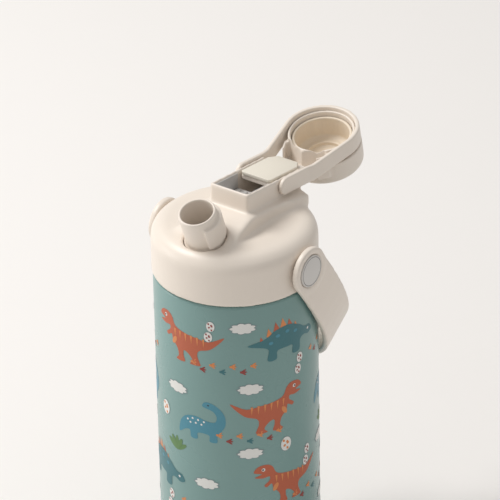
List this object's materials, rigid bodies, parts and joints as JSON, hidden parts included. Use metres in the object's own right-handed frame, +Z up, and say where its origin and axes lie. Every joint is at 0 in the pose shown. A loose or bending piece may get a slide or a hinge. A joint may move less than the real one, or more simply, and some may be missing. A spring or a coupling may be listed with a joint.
{
  "type": "insulated water bottle",
  "caption": "Round insulated bottle with a screw-on lid unit: tilted spout, sprung flip lid with a carry loop, and a swinging strap handle.",
  "frame": {"origin": "centre of the flat base that the bottle stands on", "axes": "+Z up along the bottle, -Y towards the spout, +X towards the right strap pivot"},
  "size_m": [0.0808, 0.1223, 0.1917],
  "materials": {
    "outer_shell": "satin powder coat with a print",
    "inner_flask": "satin",
    "base_plate": "satin",
    "collar": "satin",
    "thread_insert": "satin",
    "neck_seal": "matt silicone",
    "spout": "satin",
    "spout_seal": "matt silicone",
    "vent_valve": "matt silicone",
    "hinge_pin": "polished",
    "spring_pin": "polished",
    "latch_pin": "polished",
    "spring_bracket": "bright",
    "lid_spring": "bright",
    "latch": "satin",
    "release_button": "satin",
    "flip_lid": "satin",
    "lid_cover": "satin",
    "lid_seal": "matt silicone",
    "carry_loop": "satin",
    "strap_handle": "satin",
    "strap_cap_left": "satin",
    "strap_cap_right": "satin",
    "strap_stud_left": "satin",
    "strap_stud_right": "satin"
  },
  "bodies": {
    "bottle": {"outer_shell": "outer_shell", "inner_flask": "inner_flask", "base_plate": "base_plate"},
    "lid_unit": {"collar": "collar", "thread_insert": "thread_insert", "neck_seal": "neck_seal", "spout": "spout", "spout_seal": "spout_seal", "vent_valve": "vent_valve", "hinge_pin": "hinge_pin", "spring_pin": "spring_pin", "latch_pin": "latch_pin", "spring_bracket": "spring_bracket", "lid_spring": "lid_spring", "strap_stud_left": "strap_stud_left", "strap_stud_right": "strap_stud_right"},
    "lid": {"flip_lid": "flip_lid", "lid_cover": "lid_cover", "lid_seal": "lid_seal"},
    "loop": {"carry_loop": "carry_loop"},
    "latch_lever": {"latch": "latch"},
    "button": {"release_button": "release_button"},
    "strap": {"strap_handle": "strap_handle", "strap_cap_left": "strap_cap_left", "strap_cap_right": "strap_cap_right"}
  },
  "joints": [
    {"name": "lid_unit_lift", "type": "slide", "parent": "bottle", "child": "lid_unit", "axis": [0, 0, 1], "range_m": [0, 0.03]},
    {"name": "lid_flip", "type": "hinge", "parent": "lid_unit", "child": "lid", "pos_m": [0, 0.022, 0.183], "axis": [1, 0, 0], "range_deg": [0, 178.5], "stiffness_Nm_per_rad": 0.002},
    {"name": "loop_swing", "type": "hinge", "parent": "lid_unit", "child": "loop", "pos_m": [0, 0.022, 0.183], "axis": [1, 0, 0], "range_deg": [0, 179]},
    {"name": "strap_swing", "type": "hinge", "parent": "lid_unit", "child": "strap", "pos_m": [0, 0.001, 0.1595], "axis": [1, 0, 0], "range_deg": [0, 45]},
    {"name": "button_press", "type": "slide", "parent": "lid_unit", "child": "button", "axis": [0, -1, 0], "range_m": [0, 0.0012], "stiffness_N_per_m": 400},
    {"name": "latch_tip", "type": "hinge", "parent": "lid_unit", "child": "latch_lever", "pos_m": [0, 0.03, 0.1764], "axis": [-1, 0, 0], "range_deg": [0, 36]}
  ],
  "couplings": [
    {"joint": "loop_swing", "follows": "lid_flip", "ratio": 1},
    {"joint": "latch_tip", "follows": "button_press", "rad_per_m": 350}
  ]
}
